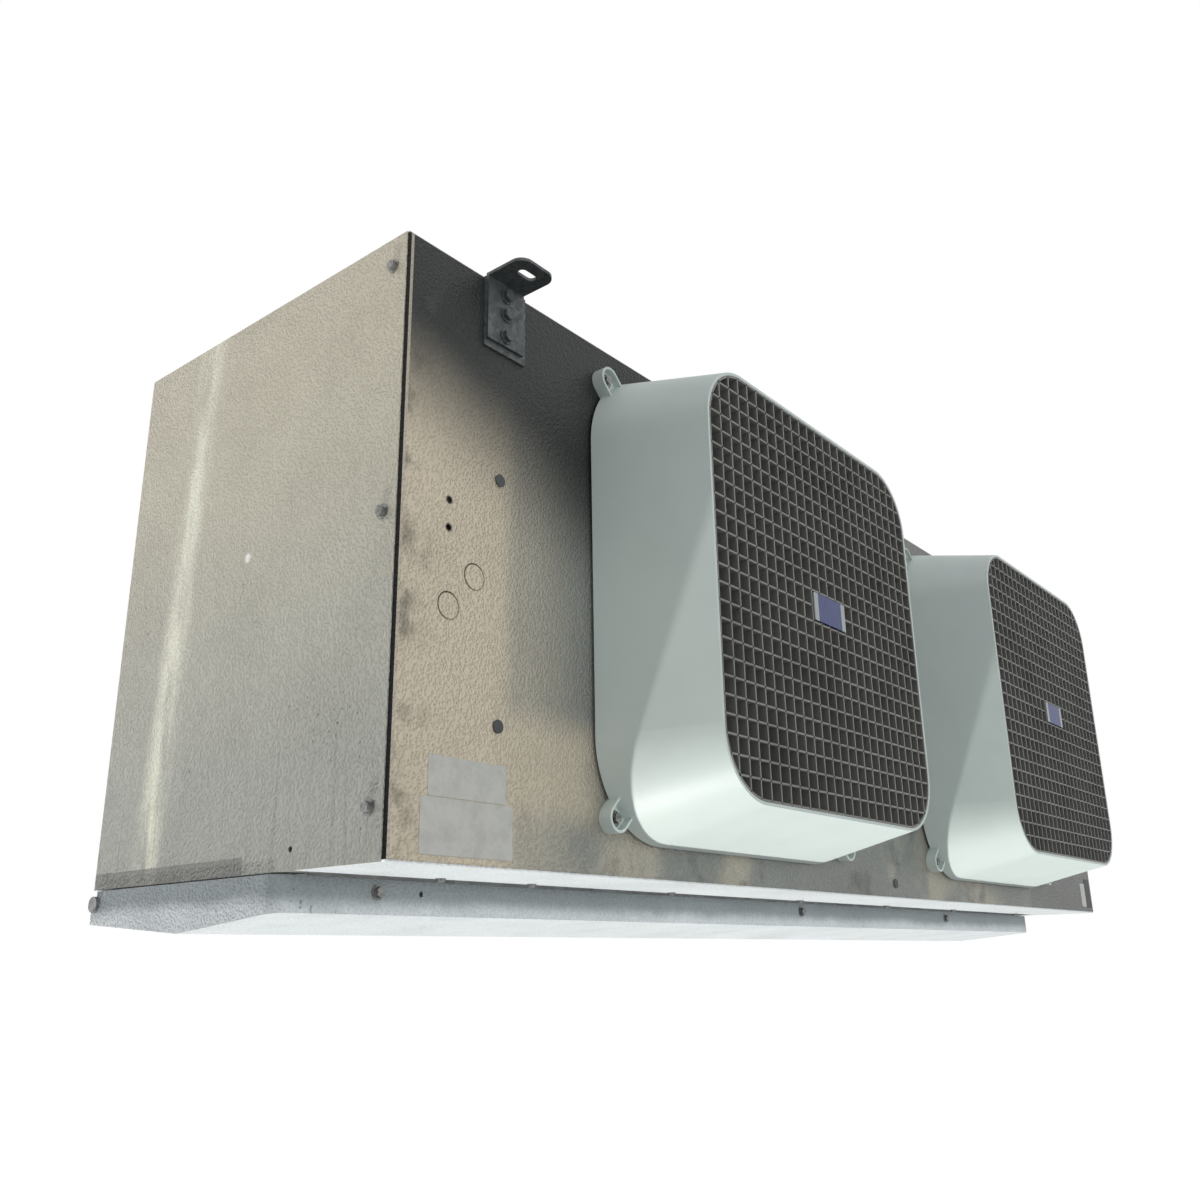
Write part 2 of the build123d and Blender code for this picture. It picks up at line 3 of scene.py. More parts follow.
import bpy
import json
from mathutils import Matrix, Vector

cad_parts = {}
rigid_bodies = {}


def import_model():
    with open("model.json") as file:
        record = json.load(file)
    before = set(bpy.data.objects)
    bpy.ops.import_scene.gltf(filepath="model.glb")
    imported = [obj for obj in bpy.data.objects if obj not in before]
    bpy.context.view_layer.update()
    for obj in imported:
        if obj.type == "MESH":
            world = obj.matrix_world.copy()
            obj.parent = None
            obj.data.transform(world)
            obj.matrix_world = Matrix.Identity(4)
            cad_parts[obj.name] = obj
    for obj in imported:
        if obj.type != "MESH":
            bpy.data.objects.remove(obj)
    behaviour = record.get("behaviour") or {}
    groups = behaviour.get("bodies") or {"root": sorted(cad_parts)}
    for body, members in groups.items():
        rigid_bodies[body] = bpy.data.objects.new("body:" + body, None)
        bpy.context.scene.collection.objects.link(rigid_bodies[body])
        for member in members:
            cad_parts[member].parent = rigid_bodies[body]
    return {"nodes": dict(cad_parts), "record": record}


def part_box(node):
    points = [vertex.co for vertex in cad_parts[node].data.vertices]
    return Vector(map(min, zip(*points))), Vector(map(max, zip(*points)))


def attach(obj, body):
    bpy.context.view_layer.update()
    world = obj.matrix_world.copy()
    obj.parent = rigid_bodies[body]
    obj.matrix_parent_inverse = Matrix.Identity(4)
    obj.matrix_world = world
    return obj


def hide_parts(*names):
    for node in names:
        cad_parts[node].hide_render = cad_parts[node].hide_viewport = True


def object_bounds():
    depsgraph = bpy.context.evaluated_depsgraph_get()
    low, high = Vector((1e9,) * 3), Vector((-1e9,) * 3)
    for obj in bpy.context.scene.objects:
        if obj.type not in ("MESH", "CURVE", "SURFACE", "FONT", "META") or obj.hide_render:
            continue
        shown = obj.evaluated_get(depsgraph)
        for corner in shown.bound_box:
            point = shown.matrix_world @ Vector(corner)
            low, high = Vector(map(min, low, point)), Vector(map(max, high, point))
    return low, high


bl_info = {
    "name": "Walk-in Unit Cooler",
    "version": (1, 0, 0),
    "blender": (4, 5, 0),
    "location": "View3D > Sidebar > Cooler",
    "description": "Dresses a two-fan unit cooler: sheet finishes, grilles, fins, screws and stage",
    "category": "Object",
}

import json
import math

import bmesh
import bpy
from mathutils import Matrix, Vector

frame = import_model()
CAD_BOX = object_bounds()
NODES = frame["nodes"]
SIDES = ("left", "right")
MM = 0.001


def centre_of(node):
    low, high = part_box(node)
    return (low + high) / 2


CABINET_LOW = Vector((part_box("end_panel_left")[0].x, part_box("front_panel")[0].y,
                      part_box("end_panel_left")[0].z))
CABINET_HIGH = Vector((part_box("end_panel_right")[1].x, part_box("top_panel")[1].y,
                       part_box("end_panel_left")[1].z))
FRONT_Y = CABINET_LOW.y

# Marks on the front panel, in metres. The painted seam shadow and the painted highlight on the bent
# edge end this far from its left edge.
SEAM_END, BEND_HIGHLIGHT_END = 0.0032, 0.0062
# The fold and the painted reflection spot lie this far above its lower edge.
FOLD_HEIGHT, REFLECTION_SPOT_HEIGHT = 0.0016, 0.085
# Knockouts and small holes, drawn as painted shade: the distance from its left edge and the frame's
# z.
KNOCKOUTS = ((0.084, -0.291), (0.056, -0.322))
KNOCKOUT_R = 0.0113
SMALL_HOLES = ((0.054, -0.232), (0.054, -0.256))
SMALL_HOLE_R, SMALL_HOLE_FADE = 0.0028, 0.0046

# Painted light on the end panels, a glint streak, a dent's highlight and the pan's shadow: back
# from the front edge and down from the top.
GLINT_BACK, GLINT_LEAN = 0.288, 0.055
DENT_BACK, DENT_DOWN = 0.198, 0.246
PAN_SHADOW_BACK, PAN_SHADOW_DOWN = 0.17, 0.506

# Badges: half the width of the blue middle, and where the silver ends begin.
BADGE_BLUE_END, BADGE_SILVER_START = 0.0235, 0.0245

# A vane is this much shorter than the grille's outline, so that both its ends are in the rim.
VANE_SHORTER = 1.6 * MM

# Labels on the front panel: name, left, right, top and bottom edge in mm from the panel's left
# edge and the cabinet's top, and finish.
LABELS = (("upper", 40, 123, 439, 470, "label"), ("lower", 33, 131, 470.5, 513, "label"),
          ("end_pale", 1559, 1583, 472, 511, "label"),
          ("end_dark", 1584.5, 1611, 464, 512, "plug_plastic"))
LABEL_CORNER = 2.0 * MM
# A label's outline from the panel outwards: place in y and inset.
LABEL_LAYERS = ((0.0, 0.0), (-0.35 * MM, 0.0), (-0.45 * MM, 0.4 * MM))

# Stage.
FLOOR_REACH, FLOOR_DROP = 60.0, 2.1
SKY_TINT = (0.93, 0.97, 1.0)
CAMERA_LENS = 33.69
CAMERA_RIGHT = Vector((0.63293, -0.77405, -0.01601))
CAMERA_UP = Vector((-0.22832, -0.20637, 0.95146))
CAMERA_BACK = Vector((-0.73978, -0.59855, -0.30735))
# The camera's place: left of the cabinet, in front of it and below its top.
CAMERA_LEFT, CAMERA_FRONT, CAMERA_BELOW = 0.5269, 0.6261, 0.5901

# Colours of the sheets and of the marks on them.
TAN = (0.61, 0.54, 0.42)
# Painted shade in grey and painted dark reflection in grey and charcoal on the front panel.
SHADE_GREY = (0.27, 0.28, 0.26)
REFLECTION_GREY = (0.2, 0.205, 0.195)
REFLECTION_CHARCOAL = (0.036, 0.04, 0.038)
STAIN_BEIGE = (0.50, 0.46, 0.37)
GRIME = (0.13, 0.13, 0.12)
RUB_BROWN = (0.10, 0.095, 0.08)
# Painted highlight on the rounded bend at the front panel's left edge.
BEND_HIGHLIGHT = (0.5, 0.45, 0.37)
# Painted shade in the knockouts' grooves and the small holes.
HOLE_SHADE = (0.03, 0.03, 0.03)
# Painted shadow in the seam between the end panel and the front panel.
SEAM_SHADOW = (0.012, 0.012, 0.012)
FOLD_BRIGHT = (0.77, 0.81, 0.82)
SPECK_DARK = (0.05, 0.045, 0.04)
END_BEIGE = (0.57, 0.53, 0.425)
END_GREY = (0.425, 0.43, 0.39)
# Painted glint streak on the left end panel.
GLINT_PALE = (0.80, 0.79, 0.66)
DRIP_GREY = (0.25, 0.25, 0.23)
# Painted shadow of the pan on the end panels.
PAN_SHADOW_GREY = (0.22, 0.22, 0.205)
# Painted highlight on a small dent.
DENT_HIGHLIGHT = (0.9, 0.9, 0.86)
PAN_BRIGHT = (0.77, 0.815, 0.83)
PAN_DULL = (0.61, 0.66, 0.68)
# Painted shade on the pan's upper walls.
PAN_WALL_SHADE = (0.36, 0.40, 0.415)
BADGE_BLUE = (0.012, 0.028, 0.15)
BADGE_BLUE_STRIPE = (0.05, 0.07, 0.2)
BADGE_SILVER = (0.42, 0.45, 0.46)


# -------------------------------------------------------------- node graphs

class Value:
    """A node's output that takes Python's arithmetic."""

    def __init__(self, graph, socket):
        self.graph = graph
        self.socket = socket

    def _math(self, operation, *values):
        return self.graph.node("ShaderNodeMath", values, operation=operation)["Value"]

    def __add__(self, other):
        return self._math("ADD", self, other)

    def __radd__(self, other):
        return self._math("ADD", other, self)

    def __sub__(self, other):
        return self._math("SUBTRACT", self, other)

    def __rsub__(self, other):
        return self._math("SUBTRACT", other, self)

    def __mul__(self, other):
        return self._math("MULTIPLY", self, other)

    def __truediv__(self, other):
        return self._math("DIVIDE", self, other)

    def __pow__(self, other):
        return self._math("POWER", self, other)

    def __gt__(self, other):
        return self._math("GREATER_THAN", self, other)

    def __lt__(self, other):
        return self._math("LESS_THAN", self, other)

    def abs(self):
        return self._math("ABSOLUTE", self)

    def root(self):
        return self._math("SQRT", self)

    def high(self, other):
        return self._math("MAXIMUM", self, other)

    def low(self, other):
        return self._math("MINIMUM", self, other)

    def ramp(self, start, end):
        """0 below start, 1 above end, smooth between them."""
        return self.graph.node("ShaderNodeMapRange",
                               {"Value": self, "From Min": start, "From Max": end},
                               interpolation_type="SMOOTHSTEP")["Result"]


def live_socket(sockets, name):
    """The socket of that name which the node's settings leave in use."""
    return next(s for s in sockets if s.name == name and s.enabled)


class Outputs:
    """A node's outputs by name."""

    def __init__(self, graph, node):
        self.graph = graph
        self.node = node

    def __getitem__(self, name):
        return Value(self.graph, live_socket(self.node.outputs, name))


class Graph:
    """A node tree under construction."""

    def __init__(self, tree):
        self.tree = tree

    def _feed(self, socket, value):
        """Links another node's value, or sets a constant one."""
        if isinstance(value, Value):
            self.tree.links.new(value.socket, socket)
        else:
            if socket.type == "RGBA" and len(value) == 3:
                value = (*value, 1.0)
            socket.default_value = value

    def node(self, kind, sockets=(), **settings):
        """Adds a node: its settings first, then its sockets, by name or in order."""
        made = self.tree.nodes.new(kind)
        for name, value in settings.items():
            setattr(made, name, value)
        if isinstance(sockets, dict):
            for name, value in sockets.items():
                self._feed(live_socket(made.inputs, name), value)
        else:
            for socket, value in zip(made.inputs, sockets):
                self._feed(socket, value)
        return Outputs(self, made)


# ---------------------------------------------------------------- materials

class Finish(Graph):
    """One material: a Principled shader and the nodes that feed it."""

    def __init__(self, name, **constants):
        self.material = bpy.data.materials.new(name)
        self.material.use_nodes = True
        super().__init__(self.material.node_tree)
        self.shader = next(n for n in self.tree.nodes if n.type == "BSDF_PRINCIPLED")
        self.set(**constants)
        self._place = None

    def set(self, **sockets):
        """Feeds the shader's sockets; an underscore in a name stands for a space."""
        for name, value in sockets.items():
            self._feed(self.shader.inputs[name.replace("_", " ")], value)

    @property
    def place(self):
        """The object's coordinates."""
        if self._place is None:
            self._place = self.node("ShaderNodeTexCoord")["Object"]
        return self._place

    def axes(self):
        parts = self.node("ShaderNodeSeparateXYZ", {"Vector": self.place})
        return parts["X"], parts["Y"], parts["Z"]

    def noise(self, scale, detail=3.0, roughness=0.55, vector=None):
        return self.node("ShaderNodeTexNoise", {
            "Vector": vector or self.place, "Scale": scale, "Detail": detail,
            "Roughness": roughness})["Fac"]

    def stretched(self, scale):
        """The object's coordinates, drawn out along some axes."""
        return self.node("ShaderNodeMapping", {"Vector": self.place, "Scale": scale})["Vector"]

    def cells(self, scale, output="Distance", smooth=None):
        """Voronoi cells, blended into one another where smooth is given."""
        sockets = {"Vector": self.place, "Scale": scale}
        if smooth is not None:
            sockets["Smoothness"] = smooth
        feature = "F1" if smooth is None else "SMOOTH_F1"
        return self.node("ShaderNodeTexVoronoi", sockets, feature=feature)[output]

    def mix(self, factor, first, second, blend="MIX"):
        return self.node("ShaderNodeMix", {"Factor": factor, "A": first, "B": second},
                         data_type="RGBA", blend_type=blend)["Result"]

    def bump(self, height, strength, distance):
        return self.node("ShaderNodeBump", {
            "Height": height, "Strength": strength, "Distance": distance})["Normal"]


def embossed(name, tone_at, metallic=0.5, roughness=0.42):
    """Stucco-embossed sheet. tone_at(finish, x, y, z) gives its colour."""
    skin = Finish(name, Metallic=metallic, Specular_IOR_Level=0.3)
    x, y, z = skin.axes()
    pebble = skin.cells(390.0, smooth=0.4)
    crease = skin.noise(620.0, detail=2.0)
    cloud = skin.noise(9.0, detail=4.0)
    wipe = skin.noise(14.0, detail=3.0, vector=skin.stretched((1.0, 1.0, 0.16)))
    tone = tone_at(skin, x, y, z)
    # Painted highlight on the embossing, brighter where the relief stands up, mixed with wiping
    # marks and cloudy tone that the sheet has.
    wear_and_relief_light = (0.80 + pebble.ramp(0.1, 0.75) * 0.13 + crease * 0.1
            + cloud.ramp(0.35, 0.75) * -0.1 + wipe * 0.12)
    tone = skin.mix(1.0, tone, wear_and_relief_light, "MULTIPLY")
    speck = skin.noise(210.0, detail=1.0).ramp(0.68, 0.75) * cloud.ramp(0.45, 0.7)
    tone = skin.mix(speck * 0.55, tone, SPECK_DARK)
    skin.set(Base_Color=tone, Roughness=roughness + wipe * 0.16 - pebble * 0.1)
    relief = pebble.ramp(0.0, 0.8) + crease * 0.35
    skin.set(Normal=skin.bump(relief, 0.55, 0.0009))
    return skin.material


def band(value, start, end):
    """1 between start and end, 0 outside."""
    return (value > start) * (value < end)


def off(u, v, at_u, at_v):
    """Distance in a plane from a point of it."""
    return ((u - at_u) ** 2.0 + (v - at_v) ** 2.0) ** 0.5


def front_tone(skin, x, y, z):
    """Tan in the middle left, painted dark reflection in charcoal to the upper right, painted shade
    in grey to the lower right.
    """
    along = x - CABINET_LOW.x
    height = z - CABINET_LOW.z
    cloud = skin.noise(3.2, detail=2.0) - 0.5
    # Painted dark reflection over the upper right of the panel.
    up = (height + along * 0.3 + cloud * 0.08).ramp(0.30, 0.46)
    # Painted reflection: a pale spot that takes away most of the painted shade there.
    reflection_spot = ((1.0 - (height - REFLECTION_SPOT_HEIGHT).abs().ramp(0.02, 0.06))
                 * (1.0 - along.ramp(0.21, 0.27)))
    # Painted shade: grey to the right of a sharp line, then more of it further right.
    edge = (along + cloud * 0.03).ramp(0.112, 0.142) * 0.55
    right = (edge + along.ramp(0.14, 0.24) * 0.45) * (1.0 - reflection_spot * 0.9)
    tone = skin.mix(right, TAN, SHADE_GREY)
    stain = skin.noise(11.0, detail=4.0).ramp(0.46, 0.66) * right * (1.0 - height.ramp(0.09, 0.2))
    tone = skin.mix(stain * 0.75, tone, STAIN_BEIGE)
    grime = skin.noise(17.0, detail=5.0).ramp(0.56, 0.72) * right * (1.0 - height.ramp(0.06, 0.16))
    tone = skin.mix(grime * 0.7, tone, GRIME)
    # The painted dark reflection runs from charcoal to grey towards the far right.
    dark_reflection = skin.mix(along.ramp(0.35, 0.9), REFLECTION_CHARCOAL, REFLECTION_GREY)
    tone = skin.mix(up, tone, dark_reflection)
    rub = skin.noise(24.0, detail=5.0).ramp(0.5, 0.68) * (1.0 - along.ramp(0.004, 0.05))
    tone = skin.mix(rub * 0.65, tone, RUB_BROWN)
    # Painted highlight on the rounded bend just right of the seam.
    tone = skin.mix(band(along, SEAM_END, BEND_HIGHLIGHT_END) * 0.8, tone, BEND_HIGHLIGHT)
    # Painted shade in each knockout's groove, darker on one side, and in each small hole, fading
    # out around it.
    for at_x, at_z in KNOCKOUTS:
        ring = 1.0 - (off(along, z, at_x, at_z) - KNOCKOUT_R).abs().ramp(0.0003, 0.0010)
        part = (along - at_x - (z - at_z) * 0.4).ramp(-0.008, 0.012)
        tone = skin.mix(ring * (0.9 - part * 0.6), tone, HOLE_SHADE)
    for at_x, at_z in SMALL_HOLES:
        around = 1.0 - off(along, z, at_x, at_z).ramp(SMALL_HOLE_R, SMALL_HOLE_FADE)
        tone = skin.mix(around * 0.9, tone, HOLE_SHADE)
    # Painted shadow in the seam where the end panel meets the front panel.
    tone = skin.mix(along < SEAM_END, tone, SEAM_SHADOW)
    fold = height < FOLD_HEIGHT
    skin.set(Metallic=0.5 - fold * 0.4)
    return skin.mix(fold, tone, FOLD_BRIGHT)


def end_tone(skin, x, y, z):
    """Beige with the pan's painted shadow as a grey strip at the foot; on the left end a painted
    glint streak and a painted highlight on a small dent.
    """
    back, down = y - FRONT_Y, CABINET_HIGH.z - z
    left_end = x < 0.0
    glint_breakup = skin.noise(30.0, detail=4.0, vector=skin.stretched((1.0, 1.0, 0.25)))
    # Painted highlight: a pale glint streak leaning back down the left end panel, broken up by
    # noise.
    streak = 1.0 - (back - GLINT_BACK - down * GLINT_LEAN).abs().ramp(0.003, 0.03)
    tone = skin.mix(down.ramp(0.05, 0.5), END_BEIGE, END_GREY)
    tone = skin.mix(streak * glint_breakup.ramp(0.3, 0.6) * left_end, tone, GLINT_PALE)
    drip = skin.noise(1.0, detail=2.0, vector=skin.stretched((1.0, 160.0, 5.0))).ramp(0.55, 0.7)
    tone = skin.mix(drip * down.ramp(0.38, 0.5) * 0.35, tone, DRIP_GREY)
    # Painted shadow of the pan: a grey strip along the foot, back from the front.
    foot = (down > PAN_SHADOW_DOWN) * (back > PAN_SHADOW_BACK)
    tone = skin.mix(foot * 0.75, tone, PAN_SHADOW_GREY)
    # Painted highlight: a small bright round spot on a dent of the left end panel.
    dent = off(y, z, FRONT_Y + DENT_BACK, CABINET_HIGH.z - DENT_DOWN)
    return skin.mix((1.0 - dent.ramp(0.002, 0.006)) * left_end, tone, DENT_HIGHLIGHT)


def pan_tone(skin, x, y, z):
    """Bright below, greyer up the walls, where painted shade lies on their upper part."""
    wall_shade_level = z + skin.noise(20.0, detail=3.0) * 0.012
    foot = CABINET_LOW.z
    patch = skin.noise(12.0, detail=3.0).ramp(0.5, 0.75)
    tone = skin.mix(patch * 0.35, PAN_BRIGHT, PAN_DULL)
    # Painted shade on the walls above a wavy line.
    return skin.mix(wall_shade_level.ramp(foot - 0.022, foot - 0.007), tone, PAN_WALL_SHADE)


def even_tone(light, dark):
    """Soft clouds of two tones."""
    return lambda skin, x, y, z: skin.mix(
        skin.noise(12.0, detail=3.0).ramp(0.45, 0.7) * 0.4, light, dark)


def spangled(name, colour, dark, metallic=0.75, roughness=0.34, scale=70.0):
    """Hot-dip zinc: flakes of slightly different tone."""
    zinc = Finish(name, Metallic=metallic)
    flake = zinc.node("ShaderNodeSeparateColor",
                      {"Color": zinc.cells(scale, output="Color")})["Red"]
    cloud = zinc.noise(18.0, detail=4.0)
    tone = zinc.mix(flake * 0.55, colour, dark)
    tone = zinc.mix(cloud.ramp(0.5, 0.8) * 0.5, tone, tuple(c * 0.6 for c in dark))
    zinc.set(Base_Color=tone, Roughness=roughness + flake * 0.14 + cloud * 0.1)
    zinc.set(Normal=zinc.bump(zinc.noise(420.0, detail=3.0), 0.12, 0.0004))
    return zinc.material


def moulded(name, colour, dust, roughness=0.4, dirt=0.25):
    """Satin moulded plastic with faint flow and dust."""
    plastic = Finish(name, IOR=1.5)
    grain = plastic.noise(900.0, detail=2.0)
    film = plastic.noise(13.0, detail=5.0)
    tone = plastic.mix(film.ramp(0.42, 0.75) * dirt, colour, dust)
    plastic.set(Base_Color=tone, Roughness=roughness + film * 0.14)
    plastic.set(Normal=plastic.bump(grain, 0.05, 0.0003))
    return plastic.material


def rolled(name, colour, dark, metallic=0.9, roughness=0.3, scale=(60.0, 4.0, 4.0), spots=40.0):
    """Plain metal with fine drawn lines."""
    metal = Finish(name, Metallic=metallic)
    lines = metal.noise(8.0, detail=4.0, vector=metal.stretched(scale))
    cloud = metal.noise(spots, detail=3.0)
    metal.set(Base_Color=metal.mix(cloud.ramp(0.4, 0.75) * 0.6, colour, dark),
              Roughness=roughness + lines * 0.18)
    metal.set(Normal=metal.bump(lines, 0.08, 0.0003))
    return metal.material


def foil_label():
    """A bare foil label with creases."""
    foil = Finish("foil_label", Metallic=0.35)
    crease = foil.noise(55.0, detail=4.0, roughness=0.7)
    tone = foil.mix(crease.ramp(0.4, 0.7) * 0.5, (0.56, 0.56, 0.52), (0.40, 0.40, 0.38))
    foil.set(Base_Color=tone, Roughness=0.34 + crease * 0.2)
    foil.set(Normal=foil.bump(crease, 0.4, 0.0007))
    return foil.material


def badge_face():
    """A blank plate: blue in the middle, silver at both ends."""
    plate = Finish("badge_face", Coat_Weight=0.2, Coat_Roughness=0.3, Metallic=0.0)
    x = plate.axes()[0]
    away = [(x - centre_of(f"guard_badge_{side}").x).abs() for side in SIDES]
    edge = away[0].low(away[1]).ramp(BADGE_BLUE_END, BADGE_SILVER_START)
    stripes = plate.noise(9.0, detail=3.0, vector=plate.stretched((34.0, 1.0, 6.0)))
    # Lighter blue in fine vertical stripes.
    blue = plate.mix(stripes.ramp(0.42, 0.62) * 0.55, BADGE_BLUE, BADGE_BLUE_STRIPE)
    plate.set(Base_Color=plate.mix(edge, blue, BADGE_SILVER), Roughness=0.4 + stripes * 0.1)
    plate.set(Normal=plate.bump(edge, 0.3, 0.0004))
    return plate.material


def make_finishes():
    """All finishes, by the record's material slot or the name of a fine piece."""
    return {
        "front": embossed("embossed_front", front_tone),
        "end": embossed("embossed_end", end_tone),
        "pan": embossed("embossed_pan", pan_tone, metallic=0.1, roughness=0.46),
        "embossed_sheet": embossed("embossed_top",
                                   even_tone((0.48, 0.47, 0.42), (0.22, 0.22, 0.2))),
        "galvanised_sheet": spangled("galvanised_sheet", (0.56, 0.58, 0.58), (0.32, 0.34, 0.35)),
        "zinc_plate": spangled("zinc_plate", (0.13, 0.142, 0.142), (0.03, 0.034, 0.034),
                               metallic=0.5, roughness=0.4, scale=230.0),
        "screw_steel": rolled("screw_steel", (0.30, 0.30, 0.29), (0.02, 0.02, 0.018),
                              metallic=0.8, roughness=0.26, spots=210.0),
        "shaft_steel": rolled("shaft_steel", (0.5, 0.5, 0.5), (0.3, 0.3, 0.3)),
        "guard_plastic": moulded("guard_plastic", (0.70, 0.785, 0.75), (0.58, 0.65, 0.62)),
        "grille_plastic": moulded("grille_plastic", (0.25, 0.25, 0.23), (0.13, 0.13, 0.115),
                                  roughness=0.45, dirt=0.5),
        "badge_plate": badge_face(),
        "plug_plastic": moulded("plug_plastic", (0.07, 0.075, 0.08), (0.03, 0.03, 0.03),
                                roughness=0.5),
        "motor_paint": moulded("motor_paint", (0.012, 0.012, 0.013), (0.04, 0.038, 0.035),
                               roughness=0.42),
        "fan_aluminium": rolled("fan_aluminium", (0.10, 0.10, 0.105), (0.05, 0.05, 0.05),
                                metallic=0.7, roughness=0.4),
        "fin_aluminium": rolled("fin_aluminium", (0.72, 0.73, 0.74), (0.5, 0.51, 0.51),
                                metallic=0.7, roughness=0.4, scale=(4.0, 4.0, 60.0)),
        "copper": rolled("copper", (0.52, 0.20, 0.095), (0.24, 0.085, 0.045),
                         metallic=0.95, roughness=0.28),
        "grommet_rubber": moulded("grommet_rubber", (0.012, 0.012, 0.012), (0.03, 0.03, 0.028),
                                  roughness=0.7),
        "drain_brass": rolled("drain_brass", (0.55, 0.38, 0.13), (0.3, 0.2, 0.08),
                              metallic=0.95, roughness=0.3),
        "label": foil_label(),
    }


# ------------------------------------------------------------------- pieces

def piece(name, mesh, body, finish=None):
    """Puts a finished mesh on a body of the frame."""
    made = bpy.data.objects.new(name, mesh)
    bpy.context.scene.collection.objects.link(made)
    if finish is not None:
        made.data.materials.clear()
        made.data.materials.append(finish)
    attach(made, body)
    return made


class Shape(Graph):
    """A Geometry Nodes tree under construction, with named inputs."""
    KINDS = {int: "NodeSocketInt", float: "NodeSocketFloat", Vector: "NodeSocketVector",
             bpy.types.Material: "NodeSocketMaterial"}

    def __init__(self, name, inputs):
        super().__init__(bpy.data.node_groups.new(name, "GeometryNodeTree"))
        face = self.tree.interface
        face.new_socket("Geometry", in_out="OUTPUT", socket_type="NodeSocketGeometry")
        self.ids = {}
        for label, value in inputs.items():
            kind = next(k for of, k in self.KINDS.items() if isinstance(value, of))
            self.ids[label] = face.new_socket(label, in_out="INPUT", socket_type=kind).identifier
        self.values = inputs
        self.input = self.tree.nodes.new("NodeGroupInput")
        self.output = self.tree.nodes.new("NodeGroupOutput")

    def take(self, *labels):
        """The values of named inputs: one alone, or several in order."""
        values = [Value(self, self.input.outputs[label]) for label in labels]
        return values[0] if len(values) == 1 else values

    def vector(self, **parts):
        return self.node("ShaderNodeCombineXYZ", parts)["Vector"]

    def row(self, count, step, start=(0.0, 0.0, 0.0)):
        """Points in a straight row."""
        return self.node("GeometryNodeMeshLine",
                         {"Count": count, "Start Location": start, "Offset": step},
                         mode="OFFSET")["Mesh"]

    def block(self, size):
        return self.node("GeometryNodeMeshCube", {"Size": size})["Mesh"]

    def moved(self, geometry, shift):
        return self.node("GeometryNodeTransform",
                         {"Geometry": geometry, "Translation": shift})["Geometry"]

    def join(self, *parts):
        made = self.tree.nodes.new("GeometryNodeJoinGeometry")
        for part in parts:
            self.tree.links.new(part.socket, made.inputs[0])
        return Value(self, made.outputs[0])

    def mesh(self, geometry):
        """Ends the tree and returns its result as a plain mesh."""
        real = self.node("GeometryNodeRealizeInstances", {"Geometry": geometry})["Geometry"]
        done = self.node("GeometryNodeSetMaterial",
                         {"Geometry": real, "Material": self.take("Finish")})["Geometry"]
        self.tree.links.new(done.socket, self.output.inputs[0])
        holder = bpy.data.objects.new("holder", bpy.data.meshes.new("holder"))
        bpy.context.scene.collection.objects.link(holder)
        modifier = holder.modifiers.new("Build", "NODES")
        modifier.node_group = self.tree
        for label, value in self.values.items():
            modifier[self.ids[label]] = value
        bpy.context.view_layer.update()
        ready = holder.evaluated_get(bpy.context.evaluated_depsgraph_get())
        mesh = bpy.data.meshes.new_from_object(ready)
        bpy.data.objects.remove(holder)
        mesh.materials.clear()
        mesh.materials.append(self.values["Finish"])
        return mesh


def rounded_outline(width, height, radius, steps=12):
    """Points of a rounded rectangle about its centre, counter-clockwise."""
    points = []
    for k, (sx, sz) in enumerate(((1, 1), (-1, 1), (-1, -1), (1, -1))):
        for i in range(steps + 1):
            a = math.radians(90 * k + 90 * i / steps)
            points.append((sx * (width / 2 - radius) + radius * math.cos(a),
                           sz * (height / 2 - radius) + radius * math.sin(a)))
    return points


def ring_mesh(name, loops, closed=True):
    """A mesh through loops of equal length, joined one to the next and back to the first."""
    shell = bmesh.new()
    rows = [[shell.verts.new(p) for p in loop] for loop in loops]
    pairs = list(zip(rows, rows[1:] + rows[:1])) if closed else list(zip(rows, rows[1:]))
    for a, b in pairs:
        for i in range(len(a)):
            j = (i + 1) % len(a)
            shell.faces.new((a[i], a[j], b[j], b[i]))
    if not closed:
        shell.faces.new(rows[0])
        shell.faces.new(rows[-1])
    bmesh.ops.recalc_face_normals(shell, faces=shell.faces)
    mesh = bpy.data.meshes.new(name)
    shell.to_mesh(mesh)
    shell.free()
    return mesh


def crate_mesh(side, settings, finish):
    """An egg-crate of crossing vanes, cut to a rounded square."""
    low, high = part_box(f"guard_grille_{side}")
    shape = Shape(f"Egg crate {side}", {
        "Cells": settings.cells, "Width": high.x - low.x, "Corner": settings.corner,
        "Depth": high.y - low.y, "Vane": settings.vane, "Centre": (low + high) / 2,
        "Finish": finish})
    cells, width, corner, depth, vane = shape.take("Cells", "Width", "Corner", "Depth", "Vane")
    pitch = (width - 2 * settings.rim) / cells
    count = cells - 1.0
    start = pitch * ((cells - 2.0) * -0.5)
    sets = []
    for upright in (True, False):
        across = "X" if upright else "Z"
        row = shape.row(count, shape.vector(**{across: pitch}), shape.vector(**{across: start}))
        place = shape.node("GeometryNodeInputPosition")["Position"]
        away = shape.node("ShaderNodeSeparateXYZ", {"Vector": place})[across].abs()
        # Past the flat part of a side, the outline follows the round of its corner.
        flat = width * 0.5 - corner
        past = (away - flat).high(0.0)
        reach = (flat + (corner * corner - past * past).root()) * 2.0 - VANE_SHORTER
        size = shape.vector(X=vane if upright else reach, Y=depth, Z=reach if upright else vane)
        sets.append(shape.node("GeometryNodeInstanceOnPoints", {
            "Points": row, "Instance": shape.block((1.0, 1.0, 1.0)),
            "Scale": size})["Instances"])
    return shape.mesh(shape.moved(shape.join(*sets), shape.take("Centre")))


